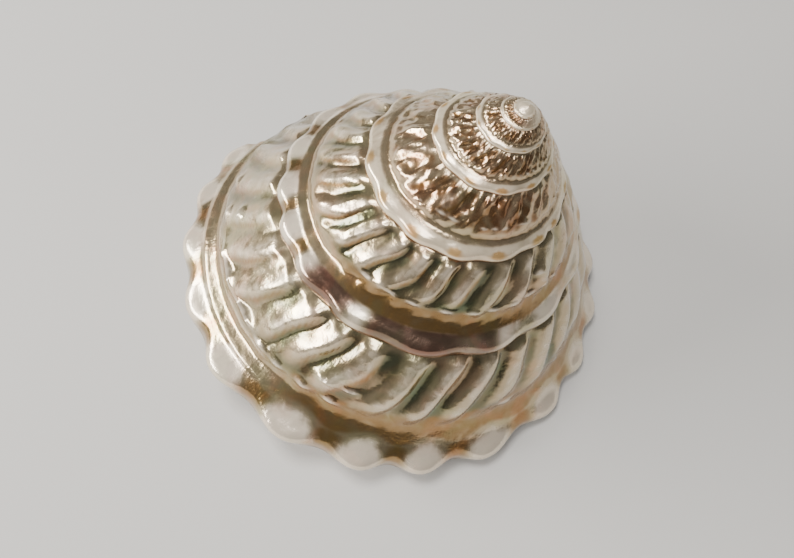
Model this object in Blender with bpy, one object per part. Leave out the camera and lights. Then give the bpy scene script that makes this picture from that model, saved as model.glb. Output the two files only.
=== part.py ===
"""A turban shell as one closed solid.

Helical whorls with a wavy keel, oblique folds, a spiral cord and a channel, and a hollow last whorl with an open mouth.

Along the shell every place has a turn number, which grows from the apex to the mouth. Across a whorl, s runs from 0 at
the upper suture to 1 at the keel. Under the keel, q runs from 1 at the keel to 0 at the axis.
Lengths in the constants are millimetres unless a name says otherwise, and the solid is made in metres.
"""
import math

import bmesh
import bpy
from mathutils import Matrix, Vector

MM = 0.001

# Growth of the keel line
GROWTH = (3.22345, 0.49914, -0.03733, -0.0057)
APEX_BLUNTNESS = 2.186
SPIRE_SLOPE = 1.3688
LATE_DROP = 5.534
LATE_DROP_RADIUS = 43.5
LATE_DROP_POWER = 5.186
LIP_TURN = 1.65
NUCLEUS_TURNS = 0.6

# Rows of the mesh, counted back from the lip
ROWS_PER_TURN = 104
ROW_STEPS = ((208, 1), (208, 2), (208, 4), (104, 8))

# Whorl profile, in shares of the distance from suture to keel
FACE_STATIONS = (0.03, 0.10, 0.20, 0.31, 0.42, 0.51, 0.58, 0.66, 0.74, 0.82, 0.90, 0.965, 1.01)
UPPER_STATIONS = (0.03, 0.12, 0.25, 0.38, 0.50, 0.59, 0.68, 0.77, 0.87, 0.965)
SPIRE_STATIONS = (0.04, 0.18, 0.36, 0.54, 0.68, 0.80, 0.94)
APEX_STATIONS = (0.08, 0.35, 0.65, 0.92)
FACE_ROUNDNESS = 0.035
CORD_AT = 0.57
CORD_WIDTH = 0.032
CORD_RISE = 0.012
CHANNEL_AT = 0.67
CHANNEL_WIDTH = 0.06
CHANNEL_DEPTH = 0.030
KEEL_AT = 0.90
KEEL_WIDTH = 0.09
KEEL_RISE = 0.040
JOIN_DROP = 0.012
JOIN_INSET = 0.035

# Folds: the turn of a crest, and how many folds it is after the crest before it
FOLD_CRESTS = (
    (-5.90, 0), (-1.86, 46), (-1.78, 1), (-1.71, 1), (-1.65, 1), (-1.60, 1), (-0.87, 10), (-0.80, 1),
    (-0.74, 1), (-0.665, 1), (-0.60, 1), (0.08, 14), (0.125, 1), (0.17, 1), (0.205, 1), (0.245, 1),
    (0.285, 1), (0.323, 1), (0.362, 1), (0.405, 1), (0.44, 1), (0.475, 1), (1.04, 15), (1.083, 1),
    (1.12, 1), (1.155, 1), (1.19, 1), (1.234, 1), (1.271, 1), (1.303, 1), (1.341, 1), (1.375, 1),
    (1.41, 1), (1.445, 1), (1.48, 1), (1.70, 6),
)
FOLD_RISE = 0.034
FOLD_SLANT = 0.024
FOLD_END = 0.50

# Knobs of the keel: the turn of a knob, and how many knobs it is after the knob before it
KNOB_TURNS = (
    (-5.90, 0), (-1.84, 47), (-1.755, 1), (-1.66, 1), (-1.58, 1), (-0.99, 7), (-0.95, 1), (-0.87, 1),
    (-0.80, 1), (-0.73, 1), (-0.66, 1), (0.04, 10), (0.115, 1), (0.19, 1), (0.27, 1), (0.33, 1), (0.38, 1),
    (0.425, 1), (0.475, 1), (0.8985, 8), (0.9435, 1), (0.9925, 1), (1.0387, 1), (1.1025, 1), (1.1525, 1),
    (1.1978, 1), (1.254, 1), (1.3192, 1), (1.3685, 1), (1.4182, 1), (1.4632, 1), (1.5032, 1), (1.70, 4),
)
KNOB_AT = 0.95
KNOB_WIDTH = 0.12
COVERED_KNOB_RISE = 0.034
FREE_KNOB_RISE = 0.085
KNOB_FREE_FROM = 0.55
KNOB_FREE_BY = 0.85

# Base, from the keel in to the foot of the columella
BASE_STATIONS = (0.92, 0.83, 0.72, 0.60, 0.47, 0.34, 0.22, 0.11)
FOOT_DEPTH = 66.0
BASE_ROUNDNESS = 0.03
BASE_CURL_START = 2.4
BASE_CURL_END = 1.35
BASE_CURL_TURNS = 0.4
BASE_CORDS = 4
BASE_CORD_RISE = 0.25

# Mouth and the hollow behind it
LIP_LEAN = 0.13
LIP_LEAN_TURNS = 0.36
LIP_WALL = 1.1
WALL = 3.0
WALL_TURNS = 0.14
HOLLOW_TURNS = 1.40
HOLLOW_ROW_TURNS = (0.012, 0.03, 0.055, 0.09, 0.14)
HOLLOW_ROWS_PER_TURN = 20
COLUMELLA = 3.6
RIM_ROUNDING = 0.35

# How the shell lies, in degrees: the lean of its axis, the side it leans to, and its turn on the ground
LEAN_ANGLE = 16.2
LEAN_TOWARD = 21.0
SPIN = -32.0

# Place of the apex. At this height the base reaches 0.35 below the ground, and wear_flat takes that off.
TIP_POSITION = (20.66, 0.61, 63.50)


def smooth_step(value):
    """0 below 0, 1 above 1, and a smooth rise between them."""
    value = min(max(value, 0.0), 1.0)
    return value * value * (3.0 - 2.0 * value)


def bell(value, centre, width):
    """A bump of height 1 round the centre."""
    return math.exp(-(((value - centre) / width) ** 2))


def rows_back():
    """Row numbers counted back from the lip, closer together on the large whorls."""
    rows = [0]
    for length, step in ROW_STEPS:
        end = rows[-1] + length
        while rows[-1] < end:
            rows.append(rows[-1] + step)
    return rows


ROWS = rows_back()
FIRST_TURN = LIP_TURN - ROWS[-1] / ROWS_PER_TURN


def turn_of(row):
    """Turn number of a row."""
    return LIP_TURN - row / ROWS_PER_TURN


def keel(turn):
    """Radius and depth below the apex of the keel line."""
    if turn <= FIRST_TURN:
        return 0.0, 0.0
    a0, a1, a2, a3 = GROWTH
    radius = math.exp(a0 + a1 * turn + a2 * turn**2 + a3 * turn**3)
    radius *= smooth_step((turn - FIRST_TURN) / NUCLEUS_TURNS) ** 0.5
    depth = SPIRE_SLOPE * (math.hypot(radius, APEX_BLUNTNESS) - APEX_BLUNTNESS)
    depth += LATE_DROP * (radius / LATE_DROP_RADIUS) ** LATE_DROP_POWER
    return radius, depth


def chord(turn):
    """Upper suture, direction down the face, direction out of it, and the distance to the keel."""
    r0, d0 = keel(turn - 1.0)
    r1, d1 = keel(turn)
    length = max(math.hypot(r1 - r0, d1 - d0), 1e-6)
    down = ((r1 - r0) / length, (d1 - d0) / length)
    out = (down[1], -down[0])
    return (r0, d0), down, out, length


def counted(turn, places):
    """A number that grows by one from each listed crest to the next."""
    count = 0.0
    for (t0, _), (t1, step) in zip(places, places[1:]):
        if turn < t1:
            return count + step * (turn - t0) / (t1 - t0)
        count += step
    return count


def crest(turn, places, sharpness):
    """1 on a crest and 0 between two."""
    wave = 0.5 + 0.5 * math.cos(2.0 * math.pi * counted(turn, places))
    return wave**sharpness


def fold_height(turn, s):
    """Height of the folds, which lean forward as they go down the face."""
    slant = FOLD_SLANT * ((s / 0.5) ** 1.5 - 0.35)
    fade = smooth_step(s / 0.10) * (1.0 - smooth_step((s - FOLD_END + 0.08) / 0.16))
    fade *= smooth_step((turn + 4.2) / 1.6)
    return FOLD_RISE * fade * (crest(turn - slant, FOLD_CRESTS, 1.2) - 0.35)


def bead_height(turn, s):
    """Height of the spiral cord, which swells where a fold reaches it."""
    swell = 0.55 + 0.9 * crest(turn - 0.03, FOLD_CRESTS, 1.0)
    return CORD_RISE * bell(s, CORD_AT, CORD_WIDTH) * swell * smooth_step((turn + 3.5) / 1.5)


def knob_height(turn, s):
    """Height of the knobs on the keel."""
    free = smooth_step((turn - KNOB_FREE_FROM) / (KNOB_FREE_BY - KNOB_FREE_FROM))
    rise = COVERED_KNOB_RISE + (FREE_KNOB_RISE - COVERED_KNOB_RISE) * free
    rise *= smooth_step((turn + 4.5) / 1.5)
    return rise * crest(turn, KNOB_TURNS, 0.75) * bell(s, KNOB_AT, KNOB_WIDTH)


def face_point(turn, s):
    """Radius and depth of a point on the outer face of a whorl."""
    (r0, d0), down, out, length = chord(turn)
    rise = FACE_ROUNDNESS * 4.0 * s * (1.0 - s)
    rise -= CHANNEL_DEPTH * bell(s, CHANNEL_AT, CHANNEL_WIDTH)
    rise += KEEL_RISE * bell(s, KEEL_AT, KEEL_WIDTH)
    rise += bead_height(turn, s)
    rise += fold_height(turn, s)
    knob = knob_height(turn, s)
    rise += 0.75 * knob
    along = s + 0.65 * knob
    radius = r0 + length * (along * down[0] + rise * out[0])
    depth = d0 + length * (along * down[1] + rise * out[1])
    return radius, depth


def join_point(turn):
    """The line under the keel, where the next whorl or the base begins."""
    if turn <= FIRST_TURN:
        return 0.0, 0.0
    _, down, out, length = chord(turn)
    radius, depth = keel(turn)
    radius += length * (JOIN_DROP * down[0] - JOIN_INSET * out[0])
    depth += length * (JOIN_DROP * down[1] - JOIN_INSET * out[1])
    return radius, depth


def base_point(turn, q, lift=0.0):
    """Radius and depth of a point on the base. A lift moves it into the shell, square to the base."""
    radius, depth = join_point(turn)
    began = smooth_step((turn - LIP_TURN + 1.0) / BASE_CURL_TURNS)
    curl = BASE_CURL_START + (BASE_CURL_END - BASE_CURL_START) * began
    drop = FOOT_DEPTH - depth
    round_rise = BASE_ROUNDNESS * radius
    base_depth = depth + drop * (1.0 - q) ** curl + round_rise * 4.0 * q * (1.0 - q)
    cords = math.cos(2.0 * math.pi * BASE_CORDS * (q - 0.98)) * smooth_step((q - 0.25) / 0.2)
    base_depth += BASE_CORD_RISE * cords * smooth_step((1.0 - q) / 0.06)
    slope = (-drop * curl * (1.0 - q) ** (curl - 1.0) + round_rise * 4.0 * (1.0 - 2.0 * q)) / radius
    size = math.hypot(1.0, slope)
    return q * radius + lift * slope / size, base_depth - lift / size


def place(turn, point):
    """A point of the shell's own frame, with the axis upright and the apex at the origin."""
    radius, depth = point
    angle = 2.0 * math.pi * turn
    return Vector((radius * math.cos(angle), -radius * math.sin(angle), -depth))


def lip_share(turn):
    """How much of the lip's lean a row takes."""
    return smooth_step((turn - LIP_TURN + LIP_LEAN_TURNS) / LIP_LEAN_TURNS)


def face_turn(turn, s):
    """Turn of a face point, with the lip leaning back toward the keel."""
    return turn - LIP_LEAN * lip_share(turn) * smooth_step(s / 0.85)


def base_turn(turn, q):
    """Turn of a base point, with the first row swung back toward the axis."""
    first = 1.0 - smooth_step((turn - LIP_TURN + 1.0) / 0.35)
    return turn - LIP_LEAN * (lip_share(turn) + first * (1.0 - q) ** 2)


def stations(row):
    """Places across the face for a row."""
    if row <= ROWS_PER_TURN:
        return FACE_STATIONS
    if row <= 2 * ROWS_PER_TURN:
        return UPPER_STATIONS
    if row <= 6 * ROWS_PER_TURN:
        return SPIRE_STATIONS
    return APEX_STATIONS


class Skin:
    """Vertices and faces of the solid, each vertex made once."""

    def __init__(self):
        self.points = []
        self.faces = []
        self.names = {}

    def add(self, point, name=None):
        if name is not None and name in self.names:
            return self.names[name]
        self.points.append(point)
        if name is not None:
            self.names[name] = len(self.points) - 1
        return len(self.points) - 1

    def face(self, corners):
        ring = []
        for corner in corners:
            if not ring or ring[-1] != corner:
                ring.append(corner)
        if ring[0] == ring[-1]:
            ring.pop()
        if len(ring) > 2:
            self.faces.append(ring)


def build_skin():
    """The whole surface: whorls, base, rim and hollow."""
    skin = Skin()
    last = ROWS[-1]
    rowset = set(ROWS)

    def join(row):
        """Vertex of the join line at a row, or the apex."""
        if row >= last:
            return skin.add(place(0.0, (0.0, 0.0)), "apex")
        turn = turn_of(row)
        turn = face_turn(turn, 1.0)
        return skin.add(place(turn, join_point(turn)), ("join", row))

    def has_join(row):
        return row <= ROWS_PER_TURN or (row - ROWS_PER_TURN) in rowset

    def across(row, places):
        """The vertices of one row, from the upper join to the place before the lower one."""
        line = [join(row + ROWS_PER_TURN)]
        for s in places:
            if row >= last:
                line.append(join(last))
                continue
            turn = face_turn(turn_of(row), s)
            line.append(skin.add(place(turn, face_point(turn, s)), ("face", row, s)))
        return line

    for row, older in zip(ROWS, ROWS[1:]):
        near_places = stations(row)
        far_places = stations(older)
        near = across(row, near_places)
        far = across(older, far_places)
        zip_rows(skin, near, far, near_places, far_places)
        lower = [join(n) for n in range(row, older + 1) if n in (row, older) or has_join(n)]
        skin.face([near[-1]] + lower + [far[-1]])
    outer = close_base(skin, join, across)
    close_hollow(skin, outer)
    return skin


def zip_rows(skin, near, far, near_places, far_places):
    """Faces between two rows, which may have different numbers of places."""
    a = [0.0] + list(near_places)
    b = [0.0] + list(far_places)
    if a == b:
        for k in range(len(a) - 1):
            skin.face((near[k], near[k + 1], far[k + 1], far[k]))
        return
    i = 0
    j = 0
    while i < len(a) - 1 or j < len(b) - 1:
        if j == len(b) - 1 or (i < len(a) - 1 and a[i + 1] <= b[j + 1]):
            skin.face((near[i], near[i + 1], far[j]))
            i += 1
        else:
            skin.face((near[i], far[j + 1], far[j]))
            j += 1


def close_base(skin, join, across):
    """The base of the last whorl. Returns the open edge round the mouth."""
    foot = skin.add(place(0.0, (0.0, FOOT_DEPTH)), "foot")

    def under(row, q):
        turn = base_turn(turn_of(row), q)
        return skin.add(place(turn, base_point(turn, q)), ("base", row, q))

    levels = [1, 2, 2, 2, 2, 4, 4, 8, 8]
    rings = []
    for k, q in enumerate((1.0,) + BASE_STATIONS):
        step = levels[k]
        ring = {}
        for row in range(0, ROWS_PER_TURN + 1, step):
            ring[row] = join(row) if k == 0 else under(row, q)
        rings.append(ring)
    for outer, inner in zip(rings, rings[1:]):
        marks = sorted(inner)
        for a, b in zip(marks, marks[1:]):
            chain = [outer[n] for n in sorted(outer) if a <= n <= b]
            skin.face([inner[a]] + [inner[b]] + chain[::-1])
    marks = sorted(rings[-1])
    for a, b in zip(marks, marks[1:]):
        skin.face((foot, rings[-1][b], rings[-1][a]))
    lip = across(0, FACE_STATIONS) + [join(0)]
    basal = [ring[0] for ring in rings[1:]]
    inner_edge = [ring[ROWS_PER_TURN] for ring in rings[1:]][::-1]
    return lip + basal + [foot] + inner_edge


def hollow_point(turn, k, wall):
    """Point k of the cross-section of the hollow, in the order of the open edge round the mouth."""
    faces = len(FACE_STATIONS) + 2
    bases = len(BASE_STATIONS)
    radius_now = join_point(turn)[0]
    radius_old = join_point(turn - 1.0)[0]
    if k < faces:
        (r0, d0), down, out, length = chord(turn)
        share = ((0.0,) + FACE_STATIONS + (1.02,))[k] / 1.02
        first = 0.55 * wall / length
        final = 1.0 - 1.55 * wall / length
        s = first + (final - first) * share
        rise = FACE_ROUNDNESS * 4.0 * s * (1.0 - s) - CHANNEL_DEPTH * bell(s, CHANNEL_AT, CHANNEL_WIDTH)
        rise = rise * length - wall
        return (r0 + length * s * down[0] + rise * out[0], d0 + length * s * down[1] + rise * out[1])
    k -= faces
    if k < bases:
        start = 1.0 - 2.6 * wall / radius_now
        end = (COLUMELLA + 1.5) / radius_now
        q = end + (start - end) * (BASE_STATIONS[k] - BASE_STATIONS[-1]) / (BASE_STATIONS[0] - BASE_STATIONS[-1])
        return base_point(turn, q, wall)
    k -= bases
    if k == 0:
        low = base_point(turn, (COLUMELLA + 0.6) / radius_now, wall)
        high = base_point(turn - 1.0, (COLUMELLA + 0.3) / radius_old)
        return COLUMELLA, 0.5 * low[1] + 0.5 * high[1]
    k -= 1
    start = 1.0 - 1.4 * wall / radius_old
    end = (COLUMELLA + 0.9) / radius_old
    back = BASE_STATIONS[::-1]
    q = end + (start - end) * (back[k] - back[0]) / (back[-1] - back[0])
    return base_point(turn - 1.0, q)


def hollow_turn(turn, k):
    """Turn of point k of the cross-section, with the lean of the lip."""
    faces = len(FACE_STATIONS) + 2
    bases = len(BASE_STATIONS)
    if k < faces:
        s = ((0.0,) + FACE_STATIONS + (1.02,))[k]
        return turn - LIP_LEAN * lip_share(turn) * smooth_step(s / 0.85)
    if k <= faces + bases:
        return turn - LIP_LEAN * lip_share(turn)
    q = BASE_STATIONS[::-1][k - faces - bases - 1]
    return turn - LIP_LEAN * (1.0 - q) ** 2 * lip_share(turn)


def wall_at(turn):
    """Wall thickness, thin at the lip and in step with the size of the whorl farther back."""
    share = smooth_step((LIP_TURN - turn) / WALL_TURNS)
    size = keel(turn)[0] / keel(LIP_TURN)[0]
    return (LIP_WALL + (WALL - LIP_WALL) * share) * (0.35 + 0.65 * size)


def close_hollow(skin, outer):
    """The rounded rim and the hollow that runs back from it."""
    count = len(outer)

    def loop(turn):
        points = []
        for k in range(count):
            there = hollow_turn(turn, k)
            points.append(place(there, hollow_point(there, k, wall_at(turn))))
        return points

    turns = [LIP_TURN - step for step in HOLLOW_ROW_TURNS]
    end = LIP_TURN - HOLLOW_TURNS
    while turns[-1] - 1.0 / HOLLOW_ROWS_PER_TURN > end:
        turns.append(turns[-1] - 1.0 / HOLLOW_ROWS_PER_TURN)
    mouth = loop(turns[0])
    faces = len(FACE_STATIONS) + 2
    rim = []
    for k in range(count):
        a = skin.points[outer[k]]
        b = mouth[k]
        middle = (a + b) / 2.0
        if 0 < k < faces + len(BASE_STATIONS) + 1:
            ahead = Vector((a.y, -a.x, 0.0))
            if ahead.length > 1e-6:
                middle += ahead.normalized() * RIM_ROUNDING
        rim.append(skin.add(middle))
    bridge(skin, outer, rim)
    ring = [skin.add(point) for point in mouth]
    bridge(skin, rim, ring)
    for number, turn in enumerate(turns[1:]):
        points = loop(turn)
        if number < 3:
            new = [skin.add(point) for point in points]
            bridge(skin, ring, new)
        elif number == 3:
            new = [skin.add(points[k]) for k in range(0, count, 2)]
            for k in range(len(new)):
                a, b, c = ring[2 * k], ring[(2 * k + 1) % count], ring[(2 * k + 2) % count]
                skin.face((a, b, c, new[(k + 1) % len(new)], new[k]))
        else:
            new = [skin.add(points[k]) for k in range(0, count, 2)]
            bridge(skin, ring, new)
        ring = new
    centre = Vector((0.0, 0.0, 0.0))
    for corner in ring:
        centre += skin.points[corner] / len(ring)
    back = 2.0 * math.pi * 0.022
    cap = []
    for corner in ring:
        point = centre + (skin.points[corner] - centre) * 0.72
        cap.append(skin.add(Matrix.Rotation(back, 3, "Z") @ point))
    bridge(skin, ring, cap)
    middle = skin.add(Matrix.Rotation(1.5 * back, 3, "Z") @ centre)
    for k in range(len(cap)):
        skin.face((cap[k], cap[(k + 1) % len(cap)], middle))


def bridge(skin, ring_a, ring_b):
    """Quads between two rings of the same length."""
    count = len(ring_a)
    for k in range(count):
        n = (k + 1) % count
        skin.face((ring_a[k], ring_a[n], ring_b[n], ring_b[k]))


def resting():
    """The turn of the shell's own frame into the way it lies."""
    toward = math.radians(LEAN_TOWARD)
    axis = Vector((-math.sin(toward), math.cos(toward), 0.0))
    lean = Matrix.Rotation(math.radians(LEAN_ANGLE), 4, axis)
    spin = Matrix.Rotation(math.radians(SPIN), 4, "Z")
    return Matrix.Translation(Vector(TIP_POSITION)) @ spin @ lean


def wear_flat(body):
    """Small flat spots where the shell touches the ground."""
    everything = list(body.verts) + list(body.edges) + list(body.faces)
    cut = bmesh.ops.bisect_plane(
        body,
        geom=everything,
        dist=1e-7,
        plane_co=(0.0, 0.0, 0.0),
        plane_no=(0.0, 0.0, -1.0),
        clear_outer=True,
    )
    rim = [item for item in cut["geom_cut"] if isinstance(item, bmesh.types.BMEdge)]
    bmesh.ops.holes_fill(body, edges=rim, sides=0)
    bmesh.ops.triangulate(body, faces=[face for face in body.faces if len(face.verts) > 3])
    bmesh.ops.recalc_face_normals(body, faces=body.faces)


def nacre():
    """Pearly shell material."""
    material = bpy.data.materials.new("nacre")
    material.use_nodes = True
    shader = material.node_tree.nodes["Principled BSDF"]
    shader.inputs["Base Color"].default_value = (0.62, 0.50, 0.34, 1.0)
    shader.inputs["Roughness"].default_value = 0.22
    shader.inputs["Metallic"].default_value = 0.35
    shader.inputs["Coat Weight"].default_value = 0.5
    return material


def main():
    for old in list(bpy.data.objects):
        bpy.data.objects.remove(old, do_unlink=True)
    skin = build_skin()
    matrix = resting()
    mesh = bpy.data.meshes.new("shell")
    points = [(matrix @ point) * MM for point in skin.points]
    mesh.from_pydata(points, [], skin.faces)
    mesh.validate()
    body = bmesh.new()
    body.from_mesh(mesh)
    bmesh.ops.recalc_face_normals(body, faces=body.faces)
    bmesh.ops.triangulate(body, faces=body.faces, quad_method="SHORT_EDGE")
    wear_flat(body)
    body.to_mesh(mesh)
    body.free()
    for polygon in mesh.polygons:
        polygon.use_smooth = True
    mesh.materials.append(nacre())
    shell = bpy.data.objects.new("shell", mesh)
    bpy.context.scene.collection.objects.link(shell)


main()
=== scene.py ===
"""The looks of a polished turban shell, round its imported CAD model.

Every place on the shell has a turn number, which grows from the apex to the mouth, and a place across the
whorl, s, which runs from 0 at the upper suture to 1 at the keel. Under the keel, q runs from 1 at the keel
to 0 at the axis. Constants that are lengths are in millimetres. Settings and the stage are in metres.
"""
import math

import bpy
import numpy as np
from bpy.props import FloatProperty, FloatVectorProperty, IntProperty, PointerProperty
from mathutils import Euler, Matrix, Vector


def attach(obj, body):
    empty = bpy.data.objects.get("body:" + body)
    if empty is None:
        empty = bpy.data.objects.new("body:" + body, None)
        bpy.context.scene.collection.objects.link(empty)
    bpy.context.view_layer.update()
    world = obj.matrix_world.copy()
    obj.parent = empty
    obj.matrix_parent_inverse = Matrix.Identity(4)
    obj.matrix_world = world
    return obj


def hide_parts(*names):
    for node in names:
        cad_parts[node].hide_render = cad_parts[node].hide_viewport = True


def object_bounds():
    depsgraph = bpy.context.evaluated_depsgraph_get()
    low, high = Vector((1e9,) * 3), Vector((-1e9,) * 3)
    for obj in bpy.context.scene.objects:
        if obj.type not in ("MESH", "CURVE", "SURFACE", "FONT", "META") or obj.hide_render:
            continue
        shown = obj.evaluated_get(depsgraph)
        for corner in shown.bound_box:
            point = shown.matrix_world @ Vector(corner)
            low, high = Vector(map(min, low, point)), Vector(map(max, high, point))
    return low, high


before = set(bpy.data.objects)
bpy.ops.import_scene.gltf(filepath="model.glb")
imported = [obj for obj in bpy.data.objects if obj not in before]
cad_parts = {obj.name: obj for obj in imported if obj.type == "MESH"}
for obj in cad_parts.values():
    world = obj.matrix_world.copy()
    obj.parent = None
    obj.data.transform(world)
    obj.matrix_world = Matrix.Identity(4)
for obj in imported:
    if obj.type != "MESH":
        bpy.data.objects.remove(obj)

bl_info = {
    "name": "Turban shell",
    "version": (1, 0, 0),
    "blender": (4, 5, 0),
    "location": "View3D > Sidebar > Shell",
    "description": "A polished pearly turban shell and the stage it is shown on",
    "category": "Add Mesh",
}

MM = 0.001
CAD_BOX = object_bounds()

# Growth of the keel line, the same as in the CAD model
GROWTH = (3.22345, 0.49914, -0.03733, -0.0057)
APEX_BLUNTNESS = 2.186
SPIRE_SLOPE = 1.3688
LATE_DROP = 5.534
LATE_DROP_RADIUS = 43.5
LATE_DROP_POWER = 5.186
LIP_TURN = 1.65
NUCLEUS_TURNS = 0.6
FIRST_TURN = -5.35

# The rows nearer to the apex than this are one point, because they would be thinner than a mesh can hold
APEX_TURN = FIRST_TURN + 0.02

# Whorl profile, in shares of the distance from suture to keel
FACE_ROUNDNESS = 0.035
CHANNEL_AT = 0.67
CHANNEL_WIDTH = 0.06
CHANNEL_DEPTH = 0.030
BROAD_CHANNEL_AT = 0.635
BROAD_CHANNEL_WIDTH = 0.11
GROOVE_DEPTH = 0.026
GROOVE_WIDTH = 0.085
RIDGE_AT = 0.765
KEEL_AT = 0.90
KEEL_WIDTH = 0.09
KEEL_RISE = 0.040
EDGE = 1.03
JOIN_DROP = 0.012
JOIN_INSET = 0.035

# Folds: the turn of a crest, and how many folds it is after the crest before it
FOLD_CRESTS = (
    (-5.90, 0), (-1.86, 46), (-1.78, 1), (-1.71, 1), (-1.65, 1), (-1.60, 1), (-0.87, 10), (-0.80, 1),
    (-0.74, 1), (-0.665, 1), (-0.60, 1), (0.08, 14), (0.125, 1), (0.17, 1), (0.205, 1), (0.245, 1),
    (0.285, 1), (0.323, 1), (0.362, 1), (0.405, 1), (0.44, 1), (0.475, 1), (1.04, 15), (1.083, 1),
    (1.12, 1), (1.155, 1), (1.19, 1), (1.234, 1), (1.271, 1), (1.303, 1), (1.341, 1), (1.375, 1),
    (1.41, 1), (1.445, 1), (1.48, 1), (1.70, 6),
)
FOLD_SLANT = 0.024
FOLD_END = 0.50
FLANK_SKEW = 0.45
CREST_SHARPNESS = 1.3
LIP_FOLDS_FROM = 1.5
LIP_FOLDS_CUT = 0.88

# Knobs of the keel: the turn of a knob, and how many knobs it is after the knob before it
KNOB_TURNS = (
    (-5.90, 0), (-1.84, 47), (-1.755, 1), (-1.66, 1), (-1.58, 1), (-0.99, 7), (-0.95, 1), (-0.87, 1),
    (-0.80, 1), (-0.73, 1), (-0.66, 1), (0.04, 10), (0.115, 1), (0.19, 1), (0.27, 1), (0.33, 1), (0.38, 1),
    (0.425, 1), (0.475, 1), (0.8985, 8), (0.9435, 1), (0.9925, 1), (1.0387, 1), (1.1025, 1), (1.1525, 1),
    (1.1978, 1), (1.254, 1), (1.3192, 1), (1.3685, 1), (1.4182, 1), (1.4632, 1), (1.5032, 1), (1.70, 4),
)
KNOB_AT = 0.950
KNOB_WIDTH = 0.10
KNOB_BREADTH = 1.15
KNOB_FREE_FROM = 0.55
KNOB_FREE_BY = 0.85

# Beads under the folds: turn, place across the whorl and a third of the length in turns
BEADS = (
    (1.090, 0.55, 0.006), (1.230, 0.42, 0.005), (1.252, 0.42, 0.005), (1.240, 0.57, 0.005),
    (1.263, 0.57, 0.005), (1.289, 0.57, 0.005), (1.310, 0.565, 0.005), (1.340, 0.53, 0.012),
    (1.380, 0.53, 0.016), (1.420, 0.35, 0.005), (1.428, 0.50, 0.005), (1.460, 0.48, 0.005),
    (0.045, 0.52, 0.006), (0.072, 0.52, 0.006), (0.096, 0.52, 0.006), (0.125, 0.52, 0.006),
    (0.150, 0.52, 0.006), (0.183, 0.52, 0.006), (0.222, 0.52, 0.006), (0.253, 0.52, 0.006),
    (0.285, 0.52, 0.006), (0.055, 0.33, 0.006), (-0.905, 0.50, 0.008), (-0.860, 0.50, 0.006),
    (-0.840, 0.50, 0.006), (-0.820, 0.50, 0.006), (-0.760, 0.50, 0.008), (-0.735, 0.50, 0.008),
)
BEAD_WIDTH = 0.021

# The loose row of beads where the photograph shows none
BEADS_PER_TURN = 39.0
BEAD_ROW_AT = 0.54

# Base, mouth and hollow
FOOT_DEPTH = 66.0
BASE_ROUNDNESS = 0.03
BASE_CURL_START = 2.4
BASE_CURL_END = 1.35
BASE_CURL_TURNS = 0.4
BASE_CORDS = 4
LIP_LEAN = 0.13
LIP_LEAN_TURNS = 0.36
WALL_TURNS = 0.14
HOLLOW_TURNS = 1.40
HOLLOW_FIRST_STEPS = (0.012, 0.03, 0.055, 0.09)
HOLLOW_END_TURN = 0.033
COLUMELLA = 3.6

# Parts of the ring round the hollow
FACE, BASE, POST, ROOF = range(4)

# How the shell lies, in degrees, and the place of its apex
LEAN_ANGLE = 16.2
LEAN_TOWARD = 21.0
SPIN = -32.0
TIP_POSITION = (20.66, 0.61, 63.50)

# Camera of the photograph, with its turn in degrees
CAMERA_AT = (1.646, -67.228, 143.097)
CAMERA_TURN = (26.487, -0.213, 0.415)
LENS = 31.74
SENSOR_WIDTH = 36.0

# The point that the lights face, in metres
LIGHTS_AIM = (0.0, 0.0, 0.025)

# Bands of the mesh, from the last whorl to the apex: columns across a whorl, first turn and last turn
BANDS = ((56, LIP_TURN, -0.35), (28, -0.35, -2.35), (14, -2.35, FIRST_TURN))
BASE_COLUMNS = 28
TONES = ("gold", "hollow", "hollow_gold", "green", "tan", "pearl", "mauve", "cream", "lens", "suture_shade_and_rust")
RIM_ROWS = 4
HOLLOW_ROWS_PER_TURN = 40
CAP_ROWS = 3

# Points closer than this are one, in metres, and edges sharper than this stay sharp, in degrees
JOIN_TOLERANCE = 1e-7
SMOOTH_ANGLE = 55.0


def linear(code):
    """Linear colour of an sRGB hex code."""
    values = [int(code[k : k + 2], 16) / 255.0 for k in (1, 3, 5)]
    return [v / 12.92 if v <= 0.04045 else ((v + 0.055) / 1.055) ** 2.4 for v in values]


def colour_setting(name, code, description):
    """A colour that a user may change."""
    return FloatVectorProperty(
        name=name, description=description, subtype="COLOR", size=3, min=0.0, max=1.0, default=linear(code)
    )


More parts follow.
